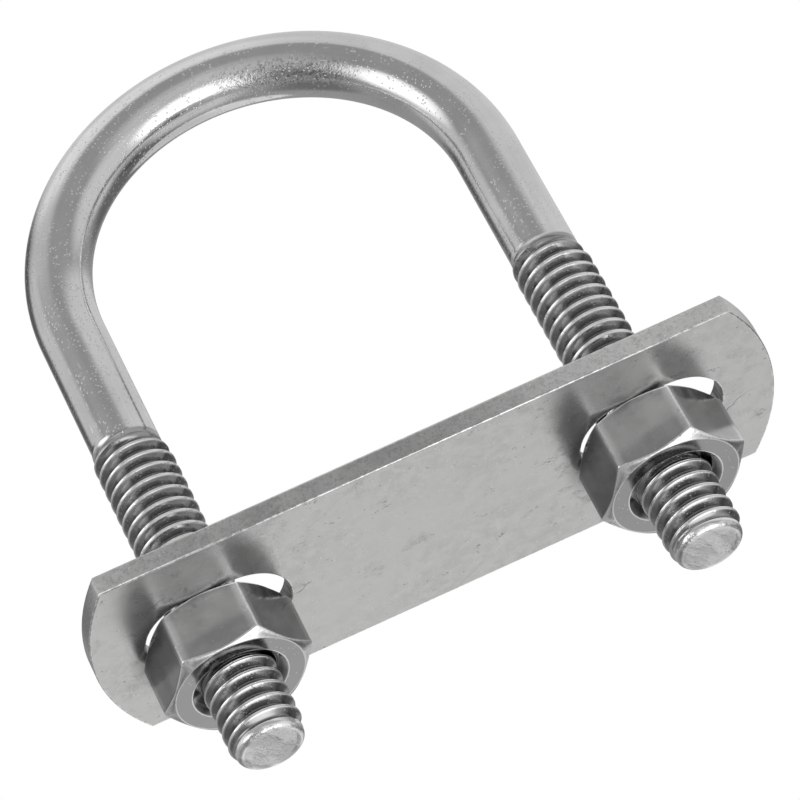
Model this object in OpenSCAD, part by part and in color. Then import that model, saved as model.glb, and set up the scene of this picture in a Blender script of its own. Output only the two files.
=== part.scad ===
// U-bolt with one slotted clamp plate and two hex nuts.
// Millimetres. +Z runs up the legs to the bow, +X runs along the plate, and the
// origin is midway between the legs on the plate's upper, clamping face.

/* [U-bolt] */
// Diameter of the plain rod
rod_d = 5.6; // [5.2:0.1:6]
// Clear width between the two legs, measured on the plain rod
inside_w = 31.75; // [30:0.25:36]
// Clear height from the plate's upper face to the inside of the bow
inside_h = 45.7; // [44:0.1:60]
// Length of each leg below the plate's upper face
leg_below = 13.9; // [11:0.1:20]

/* [Thread] */
// Diameter over the thread's crests
thread_d = 6.3; // [6.1:0.05:6.35]
// Distance from one crest to the next
thread_pitch = 1.27; // [1:0.01:1.3]
// Depth of the thread from crest to root
thread_depth = 0.7; // [0.5:0.05:0.75]
// Height of the thread's upper end above the plate's upper face
thread_top = 18; // [14:0.5:20]
// Length of the plain land at the end of each leg, where the last turn is flattened
land_len = 1; // [0.8:0.1:1.5]
// Chamfer around the end of each leg
end_chamfer = 0.5; // [0.3:0.1:0.8]

/* [Plate] */
// Overall length of the plate, over its curved ends
plate_len = 58.5; // [57:0.1:66]
// Width of the plate
plate_w = 20.1; // [18:0.1:26]
// Thickness of the plate
plate_t = 1.8; // [1.5:0.1:3]
// Radius of the plate's curved ends
end_r = 20.3; // [16:0.1:40]
// Overall length of each slot, along the plate
slot_len = 12.3; // [11.5:0.1:13]
// Width of each slot
slot_w = 8.6; // [8.4:0.1:9.4]
// How far the plate sits along X in the play of its slots
plate_x = 0.6; // [-1:0.05:1]
// How far the plate sits along Y in the play of its slots
plate_y = -0.9; // [-0.9:0.05:0.9]

/* [Nuts] */
// Width of each nut across its flats
nut_af = 11.1; // [10:0.1:12.7]
// Thickness of each nut
nut_t = 5.56; // [4.8:0.02:6.4]
// Share of the width across flats that stays flat on each face, inside the chamfer
nut_face_share = 0.98; // [0.9:0.01:0.98]
// Diameter of the countersink at each face
csk_d = 8; // [6.8:0.1:8]
// Radial gap between the thread's crests and the nut's bore
bore_gap = 0.05; // [0.03:0.01:0.09]
// Angle of the left nut from flats square to the plate
left_nut_angle = -4; // [-30:1:30]
// Angle of the right nut from flats square to the plate
right_nut_angle = -9; // [-30:1:30]

/* [Hidden] */

rod_r = rod_d / 2;
leg_x = (inside_w + rod_d) / 2;        // each leg's centre from the middle
bow_z = inside_h + rod_r - leg_x;      // height where the legs bend into the bow
crest_r = thread_d / 2;
root_r = crest_r - thread_depth;
flank_rise = thread_depth * tan(30);   // length of one flank along the leg
root_flat = thread_pitch - 2 * flank_rise;
land_top = end_chamfer + land_len - leg_below;
turns = floor((thread_top - land_top) / thread_pitch);
slot_end_x = (slot_len - slot_w) / 2;  // centre of each slot's round end
nut_r = nut_af / sqrt(3);              // centre of the nut to its corners
nut_face_r = nut_face_share * nut_af / 2;
nut_chamfer = (nut_r - nut_face_r) * tan(30);
bore_r = crest_r + bore_gap;
csk_depth = (csk_d / 2 - bore_r) * tan(45);
cut = 0.01;                            // how far a cutting solid passes a face
$fn = 96;

steel = [0.72, 0.73, 0.74];
plate_steel = [0.78, 0.78, 0.79];
nut_steel = [0.62, 0.63, 0.64];

// Half of one leg's outline, from the centre of its end up to the bend. Each turn
// of the thread is a closed groove at the true pitch, depth and 60 degree flanks.
function leg_outline() = concat(
    [
        [0, -leg_below],
        [crest_r - end_chamfer, -leg_below],
        [crest_r, end_chamfer - leg_below],
        [crest_r, land_top]
    ],
    [
        for (turn = [0 : turns - 1])
        let (z = land_top + turn * thread_pitch)
        each [
            [root_r, z + flank_rise],
            [root_r, z + flank_rise + root_flat],
            [turn == turns - 1 ? rod_r : crest_r, z + thread_pitch]
        ]
    ],
    [
        [rod_r, bow_z],
        [0, bow_z]
    ]
);

module leg() {
    rotate_extrude() polygon(leg_outline());
}

module bow() {
    translate([0, 0, bow_z])
        rotate([90, 0, 0])
            rotate_extrude(angle = 180)
                translate([leg_x, 0])
                    circle(r = rod_r);
}

module u_bolt() {
    color(steel)
        union() {
            bow();
            for (side = [-1, 1])
                translate([side * leg_x, 0, 0]) leg();
        }
}

// A bar whose two ends are arcs that meet its long edges at sharp corners
module plate_outline() {
    for (side = [-1, 1])
        intersection() {
            translate([side * plate_len / 4, 0])
                square([plate_len / 2, plate_w], center = true);
            translate([side * (plate_len / 2 - end_r), 0])
                circle(r = end_r);
        }
}

module slot_outline() {
    square([2 * slot_end_x, slot_w], center = true);
    for (side = [-1, 1])
        translate([side * slot_end_x, 0]) circle(d = slot_w);
}

module plate() {
    color(plate_steel)
        translate([plate_x, plate_y, -plate_t])
            difference() {
                linear_extrude(plate_t) plate_outline();
                for (side = [-1, 1])
                    translate([side * leg_x, 0, -cut])
                        linear_extrude(plate_t + 2 * cut) slot_outline();
            }
}

// Half outline of the turned blank whose cones chamfer both faces of the hexagon
module nut_blank_outline() {
    polygon([
        [0, 0],
        [nut_face_r, 0],
        [nut_r, nut_chamfer],
        [nut_r, nut_t - nut_chamfer],
        [nut_face_r, nut_t],
        [0, nut_t]
    ]);
}

// Half outline of the bore with its countersink at each face
module nut_bore_outline() {
    polygon([
        [0, -cut],
        [csk_d / 2 + cut, -cut],
        [bore_r, csk_depth],
        [bore_r, nut_t - csk_depth],
        [csk_d / 2 + cut, nut_t + cut],
        [0, nut_t + cut]
    ]);
}

// A hex nut on the leg at this side, bearing on the plate's lower face
module nut(side, angle) {
    translate([side * leg_x, 0, -plate_t - nut_t])
        rotate([0, 0, angle])
            difference() {
                intersection() {
                    cylinder(r = nut_r, h = nut_t, $fn = 6);
                    rotate_extrude() nut_blank_outline();
                }
                rotate_extrude() nut_bore_outline();
            }
}

module nut_left() {
    color(nut_steel) nut(-1, left_nut_angle);
}

module nut_right() {
    color(nut_steel) nut(1, right_nut_angle);
}

u_bolt();
plate();
nut_left();
nut_right();
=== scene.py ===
import math
from functools import partial

import bpy
import numpy as np
from mathutils import Matrix, Vector
from mathutils.geometry import tessellate_polygon


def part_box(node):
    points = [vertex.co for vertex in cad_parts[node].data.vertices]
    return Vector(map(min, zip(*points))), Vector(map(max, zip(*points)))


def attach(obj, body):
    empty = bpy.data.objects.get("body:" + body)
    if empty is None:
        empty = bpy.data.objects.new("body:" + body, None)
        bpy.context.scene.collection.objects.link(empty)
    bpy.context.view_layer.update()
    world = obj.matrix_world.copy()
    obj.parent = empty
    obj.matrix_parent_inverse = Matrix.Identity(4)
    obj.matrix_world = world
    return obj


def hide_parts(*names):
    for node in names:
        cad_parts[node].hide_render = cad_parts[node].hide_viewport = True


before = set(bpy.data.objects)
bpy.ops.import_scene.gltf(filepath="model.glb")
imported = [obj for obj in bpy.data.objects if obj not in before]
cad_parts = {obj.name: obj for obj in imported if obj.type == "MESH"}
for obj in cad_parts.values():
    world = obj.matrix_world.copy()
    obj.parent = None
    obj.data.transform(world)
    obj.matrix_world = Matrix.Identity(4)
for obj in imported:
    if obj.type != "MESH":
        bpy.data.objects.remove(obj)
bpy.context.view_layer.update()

MM = 0.001

# ---------------------------------------------------------------- sizes, from the frame
bolt_low, bolt_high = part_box("u_bolt")
plate_low, plate_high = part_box("plate")

ROD_R = 2.8 * MM                       # plain rod
CREST_R = bolt_high.y                  # over the thread's crests
PITCH = 1.27 * MM                      # one turn of the thread
THREAD_DEPTH = 0.66 * MM
THREAD_TOP = {-1: 17.8 * MM, 1: 18.4 * MM}   # where each leg's thread ends, by its side
THREAD_PHASE = {-1: 0.50, 1: 0.32}           # where each leg's helix starts, in turns
LEG_X = bolt_high.x - CREST_R          # each leg's centre from the middle
LEG_END = bolt_low.z
BOW_Z = bolt_high.z - ROD_R - LEG_X    # height where the legs bend into the bow

PLATE_R = 20.3 * MM                    # curved ends of the plate
SLOT_LEN = 12.3 * MM
SLOT_W = 8.6 * MM

NUT_AF = 11.1 * MM                     # across the flats
NUT_FACE_R = 0.98 * NUT_AF / 2         # flat part of each face, inside the chamfer
NUT_CSK_R = 4.0 * MM                   # countersink at each face
NUT_ANGLES = {"nut_left": math.radians(-4), "nut_right": math.radians(-9)}
THREAD_GAP = 0.04 * MM                 # play between the nut's thread and the bolt's


# ---------------------------------------------------------------- shared helpers
def smooth(low, high, x):
    """0 below low, 1 above high, and a smooth ramp between."""
    t = np.clip((x - low) / (high - low), 0.0, 1.0)
    return t * t * (3 - 2 * t)


def grid_faces(rings, columns, closed_rings=False):
    """Quads over a grid of rings by columns, whose columns wrap round."""
    ring_count = rings if closed_rings else rings - 1
    faces = []
    for i in range(ring_count):
        a = i * columns
        b = ((i + 1) % rings) * columns
        for j in range(columns):
            k = (j + 1) % columns
            faces.append((a + j, a + k, b + k, b + j))
    return faces


def turned(faces):
    """The same faces, facing the other way."""
    return [tuple(reversed(face)) for face in faces]


def make_mesh(name, points, faces, body, replaces, layers):
    """A smooth-shaded piece that rides on a body and stands for a CAD node."""
    mesh = bpy.data.meshes.new(name)
    mesh.from_pydata([tuple(p) for p in points], [], faces)
    mesh.validate()
    mesh.shade_smooth()
    for layer, values in layers.items():
        values = np.asarray(values, np.float32)
        kind = "FLOAT_VECTOR" if values.ndim == 2 else "FLOAT"
        key = "vector" if values.ndim == 2 else "value"
        attribute = mesh.attributes.new(layer, kind, "POINT")
        attribute.data.foreach_set(key, values.ravel())
    piece = bpy.data.objects.new(name, mesh)
    bpy.context.scene.collection.objects.link(piece)
    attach(piece, body)
    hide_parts(replaces)
    return piece


# ---------------------------------------------------------------- thread
CREST_HALF = 0.085       # half the crest's width, in turns
ROOT_HALF = 0.06         # half the root's width, in turns
FLANK_ROUNDING = 0.07    # how much of the flank's straight line is eased
SEAM_HALF = 0.04         # half the width of the rolled seam along the crest, in turns
SEAM_DEPTH = 0.05 * MM


def off_crest(turns):
    """Distance to the nearest crest, in turns."""
    return np.abs(((turns + 0.5) % 1.0) - 0.5)


def thread_height(turns):
    """Height of a rolled thread over its root, from 0 to 1, at a place in turns."""
    t = np.clip((off_crest(turns) - CREST_HALF) / (0.5 - CREST_HALF - ROOT_HALF), 0, 1)
    return 1 - (1 - FLANK_ROUNDING) * t - FLANK_ROUNDING * smooth(0.0, 1.0, t)


def crest_seam(turns):
    """Depth of the fine seam that rolling leaves along the crest."""
    return SEAM_DEPTH * (1 - smooth(0.0, SEAM_HALF, off_crest(turns)))


def thread_radius(side, z, angle):
    """Radius of the thread on a leg at a height and an angle round +Z."""
    turns = z / PITCH - angle / (2 * math.pi) - THREAD_PHASE[side]
    return CREST_R - THREAD_DEPTH * (1 - thread_height(turns)) - crest_seam(turns)


# ---------------------------------------------------------------- u-bolt
ROD_COLUMNS = 96
RINGS_PER_TURN = 30
PLAIN_RINGS = 16                   # up the plain part of a leg
BOW_RINGS = 97
TIP_RINGS = (0.93, 0.84, 0.7, 0.55, 0.4, 0.25, 0.12)   # across a sheared end, by radius
ROD_TURNS = np.linspace(0, 2 * math.pi, ROD_COLUMNS, endpoint=False)
BOW_END = 2 * BOW_Z + math.pi * LEG_X   # length from the clamp face round to the clamp face

RUN_OUT_FROM = -1.7                # where a thread starts to fade, in turns from its top
RUN_OUT_TO = -0.1                  # where it is gone
RUN_OUT_TILT = 0.5                 # how far it tilts up to the -X side, in turns from its middle
RUN_OUT_REACH = 0.6                # fine rings go this far past a thread's top, in turns

TIP_FILLET = 0.5 * MM
TIP_FILLET_RINGS = 7
TIP_FILLET_SHARE = 0.9             # how much of the fillet's depth is left
TIP_R = 2.84 * MM                  # the flattened last turn
TIP_LAND = 0.9 * MM                # how far the flattening reaches up the leg
SHEAR_NEAR = 0.1 * MM              # torn metal is full this near the end
SHEAR_FAR = 0.5 * MM               # and gone this far from it

BEND_X = 8.0 * MM                  # middle of the grain left by bending
BEND_TURN = math.radians(222)      # where it lies round the rod
BEND_HALF = math.radians(30)
BEND_CORE = 4.0 * MM               # it is full this near its middle
BEND_REACH = 9.5 * MM              # and gone this far from it
# share of the grain at each place round the rod
BEND_BAND = 1 - smooth(BEND_HALF * 0.5, BEND_HALF, np.abs(ROD_TURNS - BEND_TURN))


def leg_radius(side, z, angle):
    """Radius of a leg: flattened end, thread, run-out, plain rod."""
    r = thread_radius(side, z, angle)
    along = (z - THREAD_TOP[side]) / PITCH + RUN_OUT_TILT * np.cos(angle)
    r = r + (ROD_R - r) * smooth(RUN_OUT_FROM, RUN_OUT_TO, along)
    press = 1 - smooth(TIP_LAND * 0.6, TIP_LAND * 1.5, z - LEG_END)
    r = r + (TIP_R - r) * press
    h = np.clip(1 - (z - LEG_END) / TIP_FILLET, 0, 1)
    return r - TIP_FILLET * (1 - np.sqrt(1 - h * h)) * TIP_FILLET_SHARE


def leg_heights(side):
    """Heights of the rings up one leg: rounded end, thread, plain rod."""
    rounding = LEG_END + TIP_FILLET * (1 - np.cos(np.linspace(0, math.pi / 2, TIP_FILLET_RINGS)))
    top = THREAD_TOP[side] + RUN_OUT_REACH * PITCH
    count = int((top - rounding[-1]) / PITCH * RINGS_PER_TURN)
    thread = np.linspace(rounding[-1], top, count)[1:]
    plain = np.linspace(top, BOW_Z, PLAIN_RINGS)[1:-1]
    return np.concatenate([rounding, thread, plain])


SHEAR_LINE = 0.5 * MM              # how far the first flat's edge is off the middle
SHEAR_BAND = 1.6 * MM              # level strip between the two flats
SHEAR_SLOPE = 0.10                 # of the first flat
TEAR_SLOPE = 0.06                  # of the second flat
SHEAR_SINK = 0.02 * MM             # keeps the face inside the leg's end
RIPPLE = 0.010 * MM


def end_relief(side, x, y):
    """Height of the sheared end face over the leg's end: two flats beside a level strip."""
    across = x * 0.9 + side * y * 0.3 - SHEAR_LINE
    flats = max(across, 0.0) * SHEAR_SLOPE + max(-across - SHEAR_BAND, 0.0) * TEAR_SLOPE
    return flats + RIPPLE * math.sin(y * 3100 + side) * math.sin(x * 2300) + SHEAR_SINK


class Rod:
    """The rod's skin, ring by ring, from the left leg's end over the bow to the right one's."""

    def __init__(self):
        self.points = []
        self.faces = []
        names = ("rod_space", "threaded", "groove", "bend", "sheared")
        self.layers = {name: [] for name in names}

    def add_point(self, point, *values):
        """A point, with a value for each layer."""
        self.points.append(point)
        for layer, value in zip(self.layers.values(), values):
            layer.append(value)
        return len(self.points) - 1

    def add_ring(self, centre, out, radii, along, threaded, grooves):
        """A ring at a length along the rod, where out points away from the bow's middle."""
        off_bend = math.hypot(centre.x - BEND_X, centre.z - BOW_Z - LEG_X)
        bends = BEND_BAND * (1 - smooth(BEND_CORE, BEND_REACH, off_bend))
        sheared = float(1 - smooth(SHEAR_NEAR, SHEAR_FAR, centre.z - LEG_END))
        for turn, r, groove, bend in zip(ROD_TURNS, radii, grooves, bends):
            offset = out * math.cos(turn) * r + Vector((0, 1, 0)) * math.sin(turn) * r
            space = (math.cos(turn) * r, math.sin(turn) * r, along)
            self.add_point(centre + offset, space, threaded, groove, bend, sheared)

    def add_leg(self, side):
        """A leg, from its end up on the left and from the bow down on the right."""
        heights = leg_heights(side)
        angle = math.pi - ROD_TURNS if side < 0 else ROD_TURNS
        for z in heights if side < 0 else heights[::-1]:
            radii = leg_radius(side, z, angle)
            threaded = float(1 - smooth(THREAD_TOP[side] - PITCH, THREAD_TOP[side], z))
            past_tip = smooth(TIP_LAND * 0.5, TIP_LAND * 1.5, z - LEG_END)
            grooves = np.clip((CREST_R - radii) / THREAD_DEPTH, 0, 1) * threaded * past_tip
            centre = Vector((side * LEG_X, 0, z))
            along = z if side < 0 else BOW_END - z
            self.add_ring(centre, Vector((side, 0, 0)), radii, along, threaded, grooves)

    def add_bow(self):
        """The half-round bow, plain all the way."""
        radii = [ROD_R] * ROD_COLUMNS
        grooves = [0.0] * ROD_COLUMNS
        for a in np.linspace(math.pi, 0, BOW_RINGS):
            out = Vector((math.cos(a), 0, math.sin(a)))
            centre = Vector((0, 0, BOW_Z)) + out * LEG_X
            self.add_ring(centre, out, radii, BOW_Z + (math.pi - a) * LEG_X, 0.0, grooves)

    def add_tip_point(self, side, centre, offset):
        """A point of a leg's sheared face."""
        point = centre + offset
        point.z = LEG_END + end_relief(side, offset.x, offset.y)
        return self.add_point(point, tuple(point), 0.0, 0.0, 0.0, 1.0)

    def close_tip(self, side, rim):
        """A leg's sheared face: rings that close in from its rim to a centre point."""
        centre = Vector((side * LEG_X, 0, LEG_END))
        edge = self.points[rim:rim + ROD_COLUMNS]
        outer = list(range(rim, rim + ROD_COLUMNS))
        faces = []
        for share in TIP_RINGS:
            inner = [self.add_tip_point(side, centre, (p - centre) * share) for p in edge]
            faces += zip(outer, outer[1:] + outer[:1], inner[1:] + inner[:1], inner)
            outer = inner
        middle = self.add_tip_point(side, centre, Vector((0, 0, 0)))
        faces += [(a, b, middle) for a, b in zip(outer, outer[1:] + outer[:1])]
        self.faces += faces if side < 0 else turned(faces)


def build_bolt():
    rod = Rod()
    rod.add_leg(-1)
    rod.add_bow()
    rod.add_leg(1)
    rings = len(rod.points) // ROD_COLUMNS
    rod.faces += turned(grid_faces(rings, ROD_COLUMNS))
    rod.close_tip(-1, 0)
    rod.close_tip(1, (rings - 1) * ROD_COLUMNS)
    return make_mesh("rod", rod.points, rod.faces, "u_bolt", "u_bolt", rod.layers)


# ---------------------------------------------------------------- plate
EDGE_FILLET = 0.10 * MM      # crisp edges of the lower face
ROLLED_FILLET = 0.16 * MM    # edges rolled over by the punch, on the clamp face
SUPPORT = 0.08 * MM          # flat strip beside a fillet, on the plate and the nuts
EDGE_WEAR_AND_HIGHLIGHT = 1.0              # painted highlight and scuffing: brightness of the crisp edges
ROLLED_WEAR_AND_HIGHLIGHT = 0.2            # and of the rolled ones
ARC_POINTS = 49
SLOT_POINTS = 33
EDGE_POINTS = 5


def plate_outline(inset):
    """The plate's outline, counter-clockwise, set in by a distance."""
    centre = (plate_low + plate_high) / 2
    half_len = (plate_high.x - plate_low.x) / 2
    half_w = (plate_high.y - plate_low.y) / 2 - inset
    r = PLATE_R - inset
    reach = math.asin(half_w / r)
    points = []
    for side in (1, -1):
        for a in np.linspace(-reach, reach, ARC_POINTS):
            x = half_len - PLATE_R + r * math.cos(a)
            points.append((centre.x + side * x, centre.y + side * r * math.sin(a)))
    return points


def slot_outline(side, inset):
    """One slot's outline, counter-clockwise, with the metal set back by a distance."""
    centre = (plate_low + plate_high) / 2
    r = SLOT_W / 2 + inset
    straight = (SLOT_LEN - SLOT_W) / 2
    points = []
    for end in (1, -1):
        for a in np.linspace(-math.pi / 2, math.pi / 2, SLOT_POINTS):
            x = end * (straight + r * math.cos(a))
            points.append((centre.x + side * LEG_X + x, centre.y + end * r * math.sin(a)))
    return points


def plate_profile():
    """(inset, height, wear) from the lower face, up the wall, to the clamp face."""
    bottom, top = plate_low.z, plate_high.z
    arc = np.linspace(0, math.pi / 2, EDGE_POINTS)
    profile = [(EDGE_FILLET + SUPPORT, bottom, 0.0)]
    for a in arc:
        inset = EDGE_FILLET * (1 - math.sin(a))
        profile.append((inset, bottom + EDGE_FILLET * (1 - math.cos(a)), EDGE_WEAR_AND_HIGHLIGHT))
    profile.append((0.0, bottom + EDGE_FILLET + SUPPORT, 0.0))
    profile.append((0.0, top - ROLLED_FILLET - SUPPORT, 0.0))
    for a in arc:
        inset = ROLLED_FILLET * (1 - math.cos(a))
        profile.append((inset, top - ROLLED_FILLET * (1 - math.sin(a)), ROLLED_WEAR_AND_HIGHLIGHT))
    profile.append((ROLLED_FILLET + SUPPORT, top, 0.0))
    return profile


def cap_faces(points, rims, up):
    """Triangles that close one face of the plate, inside its outline and round its slots."""
    order = [v for rim in rims for v in rim]
    faces = []
    for triangle in tessellate_polygon([[points[v] for v in rim] for rim in rims]):
        face = tuple(order[i] for i in triangle)
        a, b, c = (points[v] for v in face)
        looks_up = (b - a).cross(c - a).z > 0
        faces.append(face if looks_up == up else tuple(reversed(face)))
    return faces


def build_plate():
    profile = plate_profile()
    points, faces, lower_rims, upper_rims = [], [], [], []
    layers = {"edge": [], "wall": [], "cut": []}
    outlines = (plate_outline, partial(slot_outline, -1), partial(slot_outline, 1))
    for outline in outlines:
        hole = outline is not plate_outline
        start = len(points)
        count = len(outline(0))
        for inset, z, wear_and_highlight in profile:
            upright = inset < EDGE_FILLET * 0.5
            points += [Vector((x, y, z)) for x, y in outline(inset)]
            layers["edge"] += [wear_and_highlight] * count
            layers["wall"] += [float(upright and hole)] * count
            layers["cut"] += [float(upright and not hole)] * count
        skin = [tuple(start + v for v in quad) for quad in grid_faces(len(profile), count)]
        faces += turned(skin) if hole else skin
        lower_rims.append(list(range(start, start + count)))
        upper_rims.append(list(range(len(points) - count, len(points))))
    faces += cap_faces(points, lower_rims, up=False)
    faces += cap_faces(points, upper_rims, up=True)
    return make_mesh("clamp_plate", points, faces, "plate", "plate", layers)


# ---------------------------------------------------------------- nuts
CORNER_FILLET = 0.28 * MM
CHAMFER_FILLET = 0.18 * MM
FACE_FILLET = 0.12 * MM
CSK_FILLET = 0.10 * MM
FLAT_COLUMNS = 13
CORNER_COLUMNS = 8
EDGE_GLINT = 1.0         # painted highlight and scuffing on the chamfer's and the countersink's edges
RIM_GLINT = 0.7          # of the end face's rim
CORNER_GLINT = 0.9       # of the six corners
BORE_RINGS = 90
BORE_START = 0.3 * MM    # where the bore's first ring is, in from the face
CHAMFER_SLOPE = math.tan(math.radians(30))
CSK_SLOPE = math.tan(math.radians(35))


def hex_columns():
    """(angle, radius, corner share) round a hexagon with rounded corners."""
    half = NUT_AF / 2
    d = (half - CORNER_FILLET) / math.cos(math.pi / 6)
    turn = math.atan((half - CORNER_FILLET) * math.tan(math.pi / 6) / half)
    columns = []
    for k in range(6):
        normal = math.radians(30 + 60 * k)
        for a in np.linspace(-turn, turn, FLAT_COLUMNS):
            spread = float(smooth(0.93, 1.0, abs(a) / turn))
            columns.append((normal + a, half / math.cos(a), 0.8 * spread))
        for a in np.linspace(turn, math.pi / 3 - turn, CORNER_COLUMNS + 2)[1:-1]:
            delta = a - math.pi / 6
            r = d * math.cos(delta) + math.sqrt(CORNER_FILLET ** 2 - (d * math.sin(delta)) ** 2)
            columns.append((normal + a, r, 1.0))
    return columns


def fillet(corner, before, after, radius, steps):
    """Points that round a corner between two directions, both pointing away from it."""
    before, after = before.normalized(), after.normalized()
    angle = before.angle(after)
    reach = radius / math.tan(angle / 2)
    middle = (before + after).normalized() * (radius / math.sin(angle / 2))
    start, end = corner + before * reach, corner + after * reach
    centre = corner + middle
    a, b = (start - centre).normalized(), (end - centre).normalized()
    return [centre + a.slerp(b, t) * radius for t in np.linspace(0, 1, steps)]


def nut_profile(r, thickness):
    """(point, wear) in a radial plane, from the countersink's rim to the wall's middle."""
    rim = Vector((NUT_CSK_R, thickness))
    face = Vector((NUT_FACE_R, thickness))
    edge = Vector((r, thickness - (r - NUT_FACE_R) * CHAMFER_SLOPE))
    sink = Vector((-1, -CSK_SLOPE)).normalized()
    strip = Vector((SUPPORT, 0))
    rounded = fillet(rim, sink, face - rim, CSK_FILLET, 4)
    points = [(rounded[0] + sink * SUPPORT, 0.0)]
    points += [(p, EDGE_GLINT) for p in rounded]
    points += [(rounded[-1] + strip, 0.0)]
    rounded = fillet(face, rim - face, edge - face, FACE_FILLET, 4)
    points += [(rounded[0] - strip, 0.0)]
    points += [(p, RIM_GLINT) for p in rounded]
    reach = (edge - rounded[-1]).length
    rounded = fillet(edge, face - edge, Vector((0, -1)), min(CHAMFER_FILLET, reach), 5)
    points += [((rounded[0] + face) / 2, 0.1)]
    points += [(p, EDGE_GLINT) for p in rounded]
    points += [(rounded[-1] - Vector((0, SUPPORT)), 0.0)]
    points += [(Vector((r, thickness * 0.6)), 0.0)]
    return points


def nut_bore(side, low, thickness, angle):
    """Points up the bore in a radial plane: the thread, cut back by the countersinks."""
    points = []
    for z in np.linspace(BORE_START, thickness - BORE_START, BORE_RINGS):
        thread = thread_radius(side, low + z, angle) + THREAD_GAP
        sink = NUT_CSK_R - min(z, thickness - z) / CSK_SLOPE
        points.append(Vector((max(thread, sink), z)))
    return points


def nut_column(side, low, thickness, angle, r, corner):
    """(point, wear, bore, faced) all round the nut's section in one radial plane."""
    upper = nut_profile(r, thickness)
    lower = [(Vector((p.x, thickness - p.y)), wear_and_highlight) for p, wear_and_highlight in reversed(upper)]
    column = []
    for p, wear_and_highlight in upper + lower:
        on_corner = corner * CORNER_GLINT if p.x > NUT_FACE_R else 0
        on_face = abs(p.y - thickness / 2) > thickness * 0.4999
        column.append((p, max(wear_and_highlight, on_corner), 0.0, float(on_face)))
    column += [(p, 0.0, 1.0, 0.0) for p in nut_bore(side, low, thickness, angle)]
    around = (math.cos(angle), math.sin(angle))
    return [(Vector((p.x * around[0], p.x * around[1], p.y)), *shares) for p, *shares in column]


def build_nut(name, side):
    low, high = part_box(name)
    thickness = high.z - low.z
    centre = Vector((side * LEG_X, 0, low.z))
    columns = [
        nut_column(side, low.z, thickness, NUT_ANGLES[name] + angle, r, corner)
        for angle, r, corner in hex_columns()
    ]
    points = []
    layers = {"wear_and_highlight": [], "bore": [], "painted_face_shade": []}
    for ring in zip(*columns):
        for p, *shares in ring:
            points.append(centre + p)
            for layer, share in zip(layers.values(), shares):
                layer.append(share)
    faces = turned(grid_faces(len(columns[0]), len(columns), closed_rings=True))
    return make_mesh(name + "_body", points, faces, name, name, layers)


# ---------------------------------------------------------------- materials
HALO_STRETCH = 8         # the painted shade and the dark ring patches round the nuts are this much flatter than round
HALO_X = -0.5 * MM       # their middle, from the leg's centre
HALO_Y = 0.3 * MM


def grey(value):
    return (value, value, value)


def warm(value):
    """A grey with a touch less blue."""
    return (value, value, value - 0.01)


class Graph:
    """Short ways to add and link shader nodes."""

    def __init__(self, tree):
        self.tree = tree

    def add(self, kind, **settings):
        node = self.tree.nodes.new(kind)
        for key, value in settings.items():
            setattr(node, key, value)
        return node

    def link(self, source, target):
        self.tree.links.new(source, target)

    def math(self, operation, a, b):
        node = self.add("ShaderNodeMath", operation=operation)
        for socket, value in zip(node.inputs, (a, b)):
            if isinstance(value, (int, float)):
                socket.default_value = value
            else:
                self.link(value, socket)
        return node.outputs["Value"]

    def times(self, a, b):
        return self.math("MULTIPLY", a, b)

    def plus(self, a, b):
        return self.math("ADD", a, b)

    def ramp(self, value, low, high, to_low=0.0, to_high=1.0):
        """A smooth ramp from one number to another, between two values."""
        node = self.add("ShaderNodeMapRange", interpolation_type="SMOOTHSTEP")
        node.inputs["From Min"].default_value = low
        node.inputs["From Max"].default_value = high
        node.inputs["To Min"].default_value = to_low
        node.inputs["To Max"].default_value = to_high
        self.link(value, node.inputs["Value"])
        return node.outputs["Result"]

    def blend(self, share, a, b):
        """Two shaders, the second by a share."""
        node = self.add("ShaderNodeMixShader")
        for socket, value in zip(node.inputs, (share, a, b)):
            self.link(value, socket)
        return node.outputs["Shader"]


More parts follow.
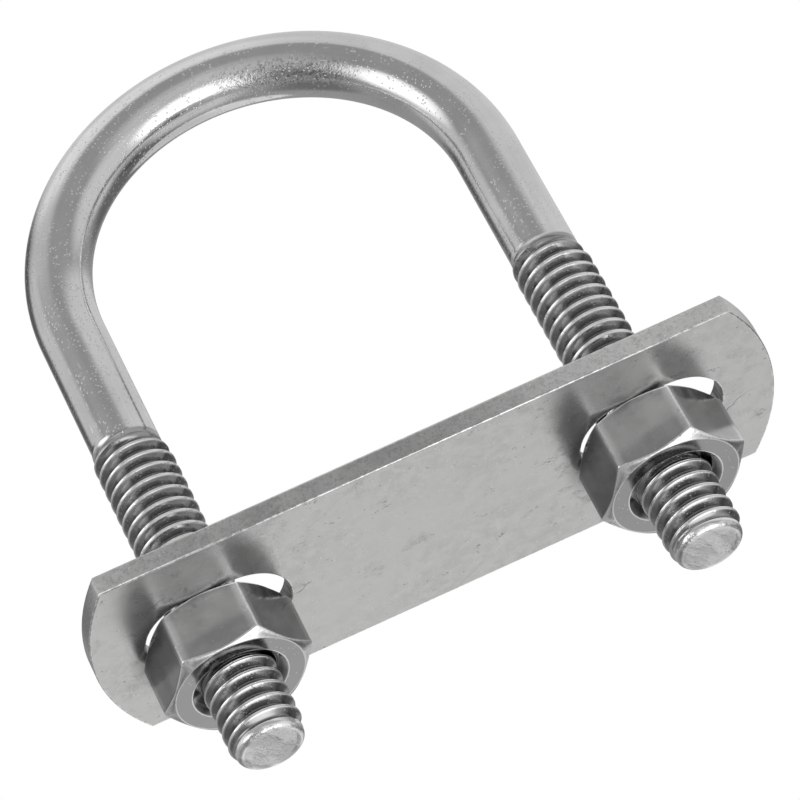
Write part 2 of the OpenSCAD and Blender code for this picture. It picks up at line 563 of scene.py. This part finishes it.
class Surface(Graph):
    """A new material. Scales of textures are in features per metre."""

    def __init__(self, name, metallic=1.0):
        self.material = bpy.data.materials.new(name)
        self.material.use_nodes = True
        super().__init__(self.material.node_tree)
        self.shader = self.tree.nodes["Principled BSDF"]
        self.shader.inputs["Metallic"].default_value = metallic

    def layer(self, name, output="Fac"):
        """A value that the mesh carries per point."""
        return self.add("ShaderNodeAttribute", attribute_name=name).outputs[output]

    def place(self, vector=None, scale=(1, 1, 1)):
        """Object coordinates, or another vector, scaled per axis."""
        if vector is None:
            vector = self.add("ShaderNodeTexCoord").outputs["Object"]
        mapping = self.add("ShaderNodeMapping")
        mapping.inputs["Scale"].default_value = scale
        self.link(vector, mapping.inputs["Vector"])
        return mapping.outputs["Vector"]

    def turn(self, angle, scale=(1, 1, 1)):
        """Object coordinates turned about Z, then scaled."""
        mapping = self.add("ShaderNodeMapping")
        mapping.inputs["Rotation"].default_value = (0, 0, angle)
        self.link(self.add("ShaderNodeTexCoord").outputs["Object"], mapping.inputs["Vector"])
        return self.place(mapping.outputs["Vector"], scale)

    def noise(self, vector, scale, detail=4.0, rough=0.55):
        node = self.add("ShaderNodeTexNoise")
        node.inputs["Scale"].default_value = scale
        node.inputs["Detail"].default_value = detail
        node.inputs["Roughness"].default_value = rough
        self.link(vector, node.inputs["Vector"])
        return node.outputs["Fac"]

    def dots(self, vector, scale, inner, outer):
        """Scattered round dots that fade from an inner to an outer radius, in cells."""
        node = self.add("ShaderNodeTexVoronoi")
        node.inputs["Scale"].default_value = scale
        self.link(vector, node.inputs["Vector"])
        return self.ramp(node.outputs["Distance"], inner, outer, 1.0, 0.0)

    def halo(self, inner, outer):
        """A soft patch on the plate's underside round each nut, clear of the upper face."""
        place = self.place(scale=(1, 1, HALO_STRETCH))
        total = 0.0
        for side in (-1, 1):
            apart = self.add("ShaderNodeVectorMath", operation="DISTANCE")
            middle = (side * LEG_X + HALO_X, HALO_Y, plate_low.z * HALO_STRETCH)
            apart.inputs[1].default_value = middle
            self.link(place, apart.inputs[0])
            total = self.plus(total, self.ramp(apart.outputs["Value"], inner, outer, 1.0, 0.0))
        return total

    def hairline(self, scale, width):
        """Thin wandering lines, broken off here and there."""
        place = self.place()
        wander = self.add("ShaderNodeTexNoise")
        wander.inputs["Scale"].default_value = scale * 6
        self.link(place, wander.inputs["Vector"])
        shift = self.add("ShaderNodeVectorMath", operation="SCALE")
        shift.inputs["Scale"].default_value = 0.16 / scale
        self.link(wander.outputs["Color"], shift.inputs[0])
        moved = self.add("ShaderNodeVectorMath", operation="ADD")
        self.link(place, moved.inputs[0])
        self.link(shift.outputs["Vector"], moved.inputs[1])
        lines = self.add("ShaderNodeTexVoronoi", feature="DISTANCE_TO_EDGE")
        lines.inputs["Scale"].default_value = scale
        self.link(moved.outputs["Vector"], lines.inputs["Vector"])
        thin = self.ramp(lines.outputs["Distance"], width * 0.4, width, 1.0, 0.0)
        gate = self.ramp(self.noise(place, scale * 2.2, 3.0), 0.52, 0.60)
        return self.times(thin, gate)

    def mix(self, share, a, b):
        """Two colours, the second by a share."""
        node = self.add("ShaderNodeMix", data_type="RGBA")
        self.link(share, node.inputs["Factor"])
        for socket, value in ((node.inputs[6], a), (node.inputs[7], b)):
            if isinstance(value, tuple):
                socket.default_value = (*value, 1.0)
            else:
                self.link(value, socket)
        return node.outputs[2]

    def paint(self, colour, mask, share, tone):
        """A tone laid over a colour where a mask lets it."""
        return self.mix(self.times(mask, share), colour, tone)

    def bump(self, height, strength, distance, before=None):
        node = self.add("ShaderNodeBump")
        node.inputs["Strength"].default_value = strength
        node.inputs["Distance"].default_value = distance
        self.link(height, node.inputs["Height"])
        if before is not None:
            self.link(before, node.inputs["Normal"])
        return node.outputs["Normal"]

    def finish(self, colour, roughness, normal):
        self.link(colour, self.shader.inputs["Base Color"])
        self.link(roughness, self.shader.inputs["Roughness"])
        self.link(normal, self.shader.inputs["Normal"])
        return self.material


def rod_material():
    """Drawn bar: faint draw lines, pits and nicks, and grain where it was bent, with painted shade
    in the thread's grooves and painted highlights on its crests and in white glints.
    """
    steel = Surface("rod_steel")
    bar = steel.layer("rod_space", "Vector")
    threaded, groove = steel.layer("threaded"), steel.layer("groove")
    bend, sheared = steel.layer("bend"), steel.layer("sheared")

    draw = steel.noise(steel.place(bar, (1, 1, 0.02)), 4200, 3.0)
    grain = steel.noise(steel.place(), 3900, 3.0, 0.65)
    blotch = steel.noise(steel.place(), 260, 3.0)
    patches = steel.ramp(steel.noise(steel.place(), 420, 4.0), 0.36, 0.56)
    crowd = steel.ramp(steel.noise(steel.place(), 190, 3.0), 0.34, 0.56)
    dents = steel.times(steel.dots(steel.place(), 3300, 0.10, 0.30), patches)
    specks = steel.times(steel.dots(steel.place(), 3900, 0.08, 0.18), steel.times(patches, crowd))
    glints = steel.times(steel.dots(steel.turn(0.7), 3400, 0.06, 0.12), crowd)
    nicks = steel.ramp(steel.noise(steel.place(bar, (1, 1, 0.2)), 2300, 2.0), 0.715, 0.735)
    torn = steel.ramp(steel.noise(steel.turn(0.5, (1, 0.4, 1)), 620, 4.0, 0.6), 0.40, 0.60)
    stretched = steel.times(steel.ramp(grain, 0.50, 0.62), bend)
    crest = steel.times(steel.ramp(groove, 0.0, 0.10, 1.0, 0.0), threaded)

    colour = steel.mix(steel.ramp(blotch, 0.3, 0.7), grey(0.72), grey(0.79))
    colour = steel.paint(colour, steel.ramp(draw, 0.45, 0.62), 0.08, grey(0.45))
    colour = steel.paint(colour, specks, 0.7, grey(0.20))
    colour = steel.paint(colour, stretched, 0.7, grey(0.27))
    # Painted shade down the thread's flanks, darkest at its roots, and a painted highlight along
    # its crests.
    colour = steel.mix(steel.ramp(groove, 0.09, 0.22), colour, grey(0.41))
    colour = steel.mix(steel.ramp(groove, 0.50, 1.0), colour, grey(0.21))
    colour = steel.mix(crest, colour, grey(1.0))
    # Painted highlight: white glints, with bright nicks.
    colour = steel.paint(colour, steel.plus(glints, nicks), 0.8, grey(1.0))
    colour = steel.mix(steel.times(sheared, torn), colour, grey(0.58))

    rough = steel.plus(steel.ramp(draw, 0.3, 0.7, 0.08, 0.15), steel.times(threaded, 0.05))
    rough = steel.plus(rough, steel.times(sheared, 0.15))
    rough = steel.plus(rough, steel.times(glints, 0.3))

    grain_depth = steel.plus(steel.times(bend, 9.0), 0.8)
    normal = steel.bump(draw, 0.18, 0.01 * MM)
    normal = steel.bump(steel.times(grain, grain_depth), 0.35, 0.01 * MM, normal)
    normal = steel.bump(dents, 1.0, 0.02 * MM, normal)
    normal = steel.bump(steel.times(torn, sheared), 0.8, 0.06 * MM, normal)
    return steel.finish(colour, rough, normal)


def plate_stains_and_shade(steel, colour):
    """Painted shade round the nuts, dark noisy patches in a ring round them, smudges, spots, sandy
    dirt and a few hairlines.
    """
    painted_nut_shade = steel.halo(5.3 * MM, 7.2 * MM)
    # Dark noisy patches in a ring round each nut.
    nut_ring_patches = steel.ramp(steel.noise(steel.place(), 800, 8.0, 0.72), 0.50, 0.66)
    nut_ring_patches = steel.times(nut_ring_patches, steel.halo(6.0 * MM, 9.5 * MM))
    smudge = steel.ramp(steel.noise(steel.place(), 240, 8.0, 0.78), 0.54, 0.66)
    spots = steel.ramp(steel.noise(steel.place(), 2300, 3.0, 0.6), 0.68, 0.74)
    dirt = steel.ramp(steel.noise(steel.place(scale=(0.5, 1, 1)), 5200, 3.0, 0.7), 0.56, 0.62)
    dirty = steel.ramp(steel.noise(steel.place(scale=(1, 1.3, 1)), 430, 2.0), 0.60, 0.68)
    scratch_a = steel.ramp(steel.noise(steel.place(scale=(1, 0.05, 1)), 2600, 2.0), 0.66, 0.70)
    scratch_b = steel.ramp(steel.noise(steel.turn(0.6, (0.04, 1, 1)), 2600, 2.0), 0.68, 0.72)
    flecks = steel.dots(steel.place(), 1300, 0.05, 0.12)
    crack = steel.times(steel.hairline(95, 0.006), steel.halo(8.0 * MM, 10.5 * MM))

    colour = steel.paint(colour, smudge, 0.28, warm(0.30))
    # Painted shade: a dark soft patch round each nut, where the nut shades the plate.
    colour = steel.paint(colour, painted_nut_shade, 0.66, grey(0.12))
    colour = steel.paint(colour, nut_ring_patches, 0.45, grey(0.15))
    colour = steel.paint(colour, spots, 0.6, grey(0.22))
    colour = steel.paint(colour, scratch_a, 0.16, grey(0.85))
    colour = steel.paint(colour, scratch_b, 0.18, grey(0.40))
    colour = steel.paint(colour, steel.times(dirt, dirty), 0.6, grey(0.16))
    colour = steel.paint(colour, flecks, 0.6, grey(0.95))
    return steel.paint(colour, crack, 0.75, grey(0.10)), spots


def plate_material():
    """Satin strip: cloudy, stained, with painted shade round the nuts, rough where it was cut, dark
    inside the slots, and scuffed edges brightened by a painted highlight.
    """
    steel = Surface("plate_steel")
    edge, wall, cut = steel.layer("edge"), steel.layer("wall"), steel.layer("cut")
    cloud = steel.noise(steel.place(), 130, 3.0)
    mottle = steel.noise(steel.place(), 900, 5.0, 0.65)
    colour = steel.mix(steel.ramp(cloud, 0.35, 0.65), warm(0.60), warm(0.70))
    colour = steel.mix(steel.ramp(mottle, 0.35, 0.65, 0.0, 0.6), colour, warm(0.73))
    colour, spots = plate_stains_and_shade(steel, colour)

    sawn = steel.times(steel.ramp(steel.noise(steel.place(), 3600, 5.0, 0.8), 0.48, 0.60), cut)
    torn = steel.ramp(steel.noise(steel.place(scale=(1, 1, 0.15)), 2600, 3.0), 0.42, 0.58)
    shade = steel.plus(steel.times(torn, 0.55), 0.25)
    edge_wear_and_highlight = steel.times(edge, steel.ramp(steel.noise(steel.place(), 1900, 4.0, 0.7), 0.46, 0.54))
    colour = steel.paint(colour, sawn, 0.5, grey(0.34))
    colour = steel.mix(steel.times(wall, shade), colour, grey(0.15))
    # Painted highlight and scuffing: the edges are painted bright, broken up by noise.
    colour = steel.mix(edge_wear_and_highlight, colour, grey(0.95))

    rough = steel.plus(steel.ramp(cloud, 0.3, 0.7, 0.24, 0.32), steel.times(spots, 0.2))
    rolled = steel.noise(steel.place(scale=(0.08, 1, 1)), 5000, 3.0)
    grain = steel.noise(steel.place(), 6500, 3.0, 0.7)
    normal = steel.bump(rolled, 0.25, 0.01 * MM)
    normal = steel.bump(grain, 0.45, 0.01 * MM, normal)
    normal = steel.bump(mottle, 0.28, 0.03 * MM, normal)
    return steel.finish(colour, rough, normal)


def nut_material():
    """Turned and polished nut with scuffed edges brightened by a painted highlight, painted shade
    on its end faces and in its bore, and a few bruises.
    """
    steel = Surface("nut_steel")
    wear_and_highlight, bore, painted_face_shade = steel.layer("wear_and_highlight"), steel.layer("bore"), steel.layer("painted_face_shade")
    cloud = steel.noise(steel.place(), 330, 4.0)
    break_up = steel.ramp(steel.noise(steel.place(), 2200, 4.0, 0.7), 0.28, 0.44)
    specks = steel.dots(steel.place(), 1900, 0.06, 0.15)
    colour = steel.mix(steel.ramp(cloud, 0.35, 0.65), grey(0.48), grey(0.58))
    # Painted shade: the nut's end faces are painted darker.
    colour = steel.paint(colour, painted_face_shade, 0.8, grey(0.33))
    colour = steel.paint(colour, specks, 0.5, grey(0.85))
    # Painted highlight and scuffing: bright edges and corners, broken up by noise.
    colour = steel.mix(steel.times(wear_and_highlight, break_up), colour, grey(0.95))
    # Painted shade: the bore is painted dark.
    colour = steel.mix(bore, colour, grey(0.16))

    rough = steel.plus(steel.ramp(cloud, 0.3, 0.7, 0.10, 0.16), steel.times(wear_and_highlight, 0.12))
    normal = steel.bump(steel.noise(steel.place(), 6000, 3.0), 0.25, 0.01 * MM)
    bruises = steel.times(wear_and_highlight, steel.noise(steel.place(), 3000, 3.0))
    normal = steel.bump(bruises, 0.6, 0.03 * MM, normal)
    return steel.finish(colour, rough, normal)


def floor_material():
    """Pale and matt from above. It lets the view from below through."""
    pale = Surface("pale_floor", metallic=0.0)
    colour = pale.mix(pale.noise(pale.place(), 90, 3.0), warm(0.80), warm(0.83))
    pale.link(colour, pale.shader.inputs["Base Color"])
    pale.shader.inputs["Roughness"].default_value = 0.8
    pale.shader.inputs["Emission Color"].default_value = (*warm(1.0), 1.0)
    pale.shader.inputs["Emission Strength"].default_value = 0.22
    clear = pale.add("ShaderNodeBsdfTransparent").outputs[0]
    below = pale.add("ShaderNodeNewGeometry").outputs["Backfacing"]
    both = pale.blend(below, pale.shader.outputs[0], clear)
    pale.link(both, pale.tree.nodes["Material Output"].inputs["Surface"])
    return pale.material


# ---------------------------------------------------------------- camera
VIEW_AZIMUTH = math.radians(6.69)
VIEW_ELEVATION = math.radians(-34.57)
VIEW_ROLL = math.radians(28.02)
VIEW_DISTANCE = 390.9 * MM
VIEW_TARGET = Vector((2.05, -5.25, 7.23)) * MM
LENS_MM = 223.6
SENSOR_MM = 36.0
CLIP_START = 10 * MM


def view_axes():
    """The camera's right, up and backward directions in the frame."""
    flat = math.cos(VIEW_ELEVATION)
    ahead = Vector((
        flat * math.sin(VIEW_AZIMUTH),
        flat * math.cos(VIEW_AZIMUTH),
        -math.sin(VIEW_ELEVATION),
    ))
    level_right = ahead.cross(Vector((0, 0, 1))).normalized()
    level_up = level_right.cross(ahead)
    c, s = math.cos(VIEW_ROLL), math.sin(VIEW_ROLL)
    right = level_right * c - level_up * s
    up = level_up * c + level_right * s
    return right, up, -ahead


def add_camera():
    right, up, back = view_axes()
    data = bpy.data.cameras.new("camera")
    data.lens = LENS_MM
    data.sensor_width = SENSOR_MM
    data.clip_start = CLIP_START
    camera = bpy.data.objects.new("camera", data)
    turn = Matrix((right, up, back)).transposed().to_4x4()
    camera.matrix_world = Matrix.Translation(VIEW_TARGET + back * VIEW_DISTANCE) @ turn
    bpy.context.scene.collection.objects.link(camera)
    bpy.context.scene.camera = camera


# ---------------------------------------------------------------- studio
ROOM_LIGHT = 0.43
# Each panel: its direction as right, up and back of the camera's view, the angles in degrees
# at which it starts to fade and is gone, and its light, which is below 0 for a dark one.
PANELS = (
    (0.0, 0.82, -0.57, 43, 52, 0.42),      # pale wall above and behind
    (-0.87, -0.05, 0.48, 6, 30, 1.5),      # left softbox
    (0.50, -0.38, 0.78, 12, 36, 1.6),      # right softbox
    (0.12, 0.24, 0.96, 10, 40, 0.33),      # glow round the camera
    (0.40, -0.68, -0.62, 22, 26, 0.60),    # white sweep below and behind
    (0.92, 0.25, 0.32, 21, 44, 0.41),      # right wall
    (-0.62, 0.75, -0.20, 14, 34, 0.25),    # upper left wall
    (-0.97, 0.03, -0.22, 12, 32, 0.35),    # left wall
    (0.62, -0.70, 0.35, 14, 36, 0.40),     # bounce, lower right
    (-0.39, -0.60, 0.70, 12, 25, -0.17),   # dark stand, lower left
    (0.70, -0.38, -0.61, 18, 39, -0.24),   # dark flag, right
    (-0.61, 0.05, -0.79, 9, 21, -0.29),    # dark flag, left
    (0.96, -0.29, -0.02, 6, 20, -0.18),    # dark doorway, right
    (-0.31, -0.95, 0.0, 8, 26, -0.20),     # dark table edge, below
)
FLOOR_HALF = 1.2
FLOOR_DROP = 0.05 * MM     # keeps the floor just clear of the legs' ends


def room_light(graph):
    """Light by direction: an even grey room with broad soft panels in it."""
    right, up, back = view_axes()
    direction = graph.add("ShaderNodeTexCoord").outputs["Generated"]
    total = ROOM_LIGHT
    for x, y, z, inner, outer, light in PANELS:
        toward = graph.add("ShaderNodeVectorMath", operation="DOT_PRODUCT")
        toward.inputs[1].default_value = (right * x + up * y + back * z).normalized()
        graph.link(direction, toward.inputs[0])
        gone, full = math.cos(math.radians(outer)), math.cos(math.radians(inner))
        total = graph.plus(total, graph.ramp(toward.outputs["Value"], gone, full, 0.0, light))
    return total


def add_world():
    """A soft studio all round. Behind the object the camera sees plain white."""
    world = bpy.data.worlds.new("studio")
    world.use_nodes = True
    graph = Graph(world.node_tree)
    graph.tree.nodes.clear()
    room = graph.add("ShaderNodeBackground")
    graph.link(room_light(graph), room.inputs["Strength"])
    white = graph.add("ShaderNodeBackground")
    white.inputs["Color"].default_value = (1, 1, 1, 1)
    seen = graph.add("ShaderNodeLightPath").outputs["Is Camera Ray"]
    both = graph.blend(seen, room.outputs[0], white.outputs[0])
    graph.link(both, graph.add("ShaderNodeOutputWorld").inputs["Surface"])
    bpy.context.scene.world = world


def add_floor():
    """A floor under the object. The steel doesn't mirror it, and it blocks no light."""
    z = LEG_END - FLOOR_DROP
    corners = [(x * FLOOR_HALF, y * FLOOR_HALF, z) for x, y in ((-1, -1), (1, -1), (1, 1), (-1, 1))]
    mesh = bpy.data.meshes.new("floor")
    mesh.from_pydata(corners, [], [(0, 1, 2, 3)])
    mesh.materials.append(floor_material())
    floor = bpy.data.objects.new("floor", mesh)
    bpy.context.scene.collection.objects.link(floor)
    floor.visible_glossy = False
    floor.visible_shadow = False


# ---------------------------------------------------------------- scene
add_camera()
add_world()
add_floor()
bpy.context.scene.view_settings.view_transform = "Standard"

rod = build_bolt()
rod.data.materials.append(rod_material())
plate = build_plate()
plate.data.materials.append(plate_material())
nut_steel = nut_material()
for node, side in (("nut_left", -1), ("nut_right", 1)):
    build_nut(node, side).data.materials.append(nut_steel)
